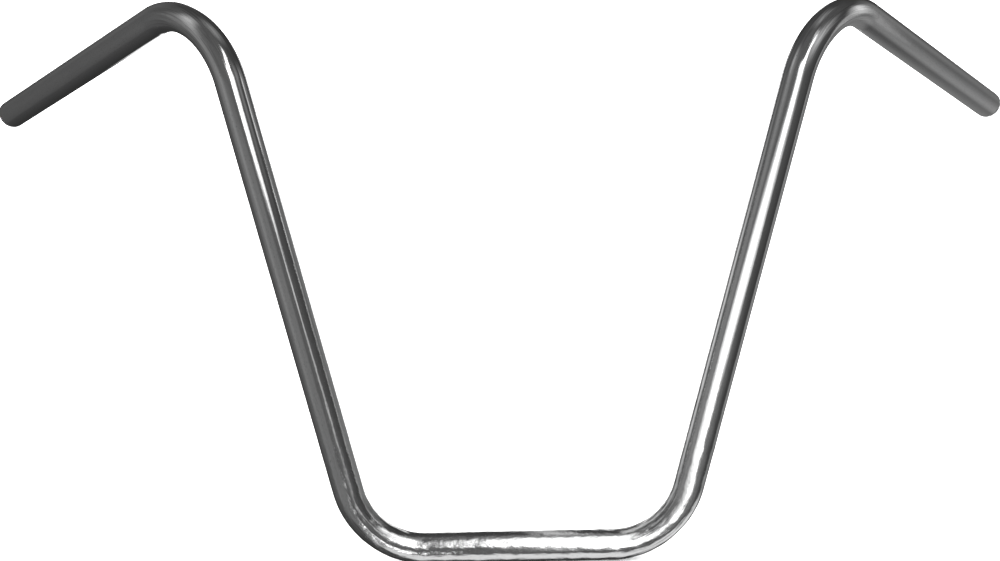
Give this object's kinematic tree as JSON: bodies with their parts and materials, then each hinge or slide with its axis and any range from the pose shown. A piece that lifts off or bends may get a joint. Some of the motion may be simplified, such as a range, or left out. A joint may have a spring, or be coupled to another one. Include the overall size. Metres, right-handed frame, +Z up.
{
  "type": "motorcycle handlebar",
  "caption": "Tall one-piece steel motorcycle handlebar with leaning uprights, a straight base for riser clamps, hand ends swept back and down, and domed push-in end plugs.",
  "frame": {"origin": "on the tube's centreline, in the middle of the straight base that the risers clamp", "axes": "+X towards the rider's left hand, +Y back towards the rider, +Z up"},
  "size_m": [0.9636, 0.2478, 0.463],
  "materials": {
    "bar_chrome": "bright chrome plate with fine polishing lines and light pitting",
    "plug_chrome": "chrome plate, slightly duller than the bar",
    "ring_rubber": "matt black rubber"
  },
  "bodies": {
    "bar": {"bar_tube": "bar_chrome"},
    "right_plug": {"right_end_plug": "plug_chrome", "right_plug_inner_ring": "ring_rubber", "right_plug_outer_ring": "ring_rubber"},
    "left_plug": {"left_end_plug": "plug_chrome", "left_plug_inner_ring": "ring_rubber", "left_plug_outer_ring": "ring_rubber"}
  },
  "joints": [
    {"name": "right_plug_pull", "type": "slide", "parent": "bar", "child": "right_plug", "axis": [-0.6821, 0.6703, -0.2924], "range_m": [0, 0.02]},
    {"name": "left_plug_pull", "type": "slide", "parent": "bar", "child": "left_plug", "axis": [0.6821, 0.6703, -0.2924], "range_m": [0, 0.02]}
  ]
}
